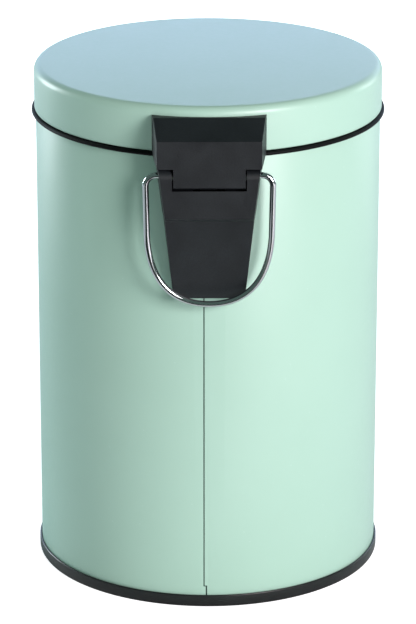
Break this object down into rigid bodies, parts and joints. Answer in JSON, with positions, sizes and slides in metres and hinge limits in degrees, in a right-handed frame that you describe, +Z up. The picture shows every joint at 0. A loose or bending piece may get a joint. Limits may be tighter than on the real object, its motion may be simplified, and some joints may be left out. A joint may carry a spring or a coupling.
{
  "type": "pedal trash can",
  "caption": "Round steel pedal bin with a flat lid, plastic hinge housing, wire carry handle, push-rod pedal linkage and a lift-out inner bucket with bail.",
  "frame": {"origin": "on the floor, under the middle of the bin's overall width and depth, pedal and hinge housing included", "axes": "+Z up along the bin, -Y to the front where the pedal is, +Y to the back where the lid hinge and carry handle are, +X to the left of someone facing the front"},
  "size_m": [0.172, 0.2183, 0.252],
  "materials": {
    "mint_coat": "satin powder coat on sheet steel",
    "black_plastic": "fine-grained black plastic",
    "grey_plastic": "matt dark grey plastic",
    "chrome_wire": "polished chrome plate",
    "zinc_steel": "bright zinc-plated steel"
  },
  "bodies": {
    "bin": {"body_shell": "mint_coat", "base_moulding": "black_plastic", "rim_ring": "black_plastic", "hinge_housing": "black_plastic", "rod_guide": "black_plastic", "hinge_pin": "zinc_steel", "housing_screw_1": "zinc_steel", "housing_screw_2": "zinc_steel", "housing_screw_3": "zinc_steel", "housing_screw_4": "zinc_steel", "pedal_pin": "zinc_steel", "pedal_clip_left": "zinc_steel", "pedal_clip_right": "zinc_steel", "inner_bucket": "grey_plastic"},
    "lid": {"lid_shell": "mint_coat", "lid_leaf": "black_plastic", "lid_screw_left": "zinc_steel", "lid_screw_right": "zinc_steel"},
    "handle": {"carry_handle": "chrome_wire"},
    "rod": {"push_rod": "zinc_steel", "push_rod_cap": "black_plastic"},
    "pedal": {"pedal_lever": "zinc_steel", "pedal_pad": "black_plastic"},
    "bail": {"bucket_bail": "zinc_steel", "bail_grip": "black_plastic"}
  },
  "joints": [
    {"name": "lid_hinge", "type": "hinge", "parent": "bin", "child": "lid", "pos_m": [0, 0.10482, 0.2209], "axis": [-1, 0, 0], "range_deg": [0, 78]},
    {"name": "push_rod_slide", "type": "slide", "parent": "bin", "child": "rod", "axis": [0, 0, 1], "range_m": [0, 0.02016]},
    {"name": "pedal_pivot", "type": "hinge", "parent": "bin", "child": "pedal", "pos_m": [0, -0.02118, 0.01722], "axis": [1, 0, 0], "range_deg": [0, 10.4]},
    {"name": "handle_swing", "type": "hinge", "parent": "bin", "child": "handle", "pos_m": [0, 0.10082, 0.2209], "axis": [1, 0, 0], "range_deg": [0, 110]},
    {"name": "bail_swing", "type": "hinge", "parent": "bin", "child": "bail", "pos_m": [0, 0.01082, 0.2188], "axis": [-1, 0, 0], "range_deg": [0, 24]}
  ],
  "couplings": [
    {"joint": "pedal_pivot", "follows": "lid_hinge", "ratio": 0.13321},
    {"joint": "push_rod_slide", "follows": "lid_hinge", "m_per_rad": 0.014793}
  ]
}
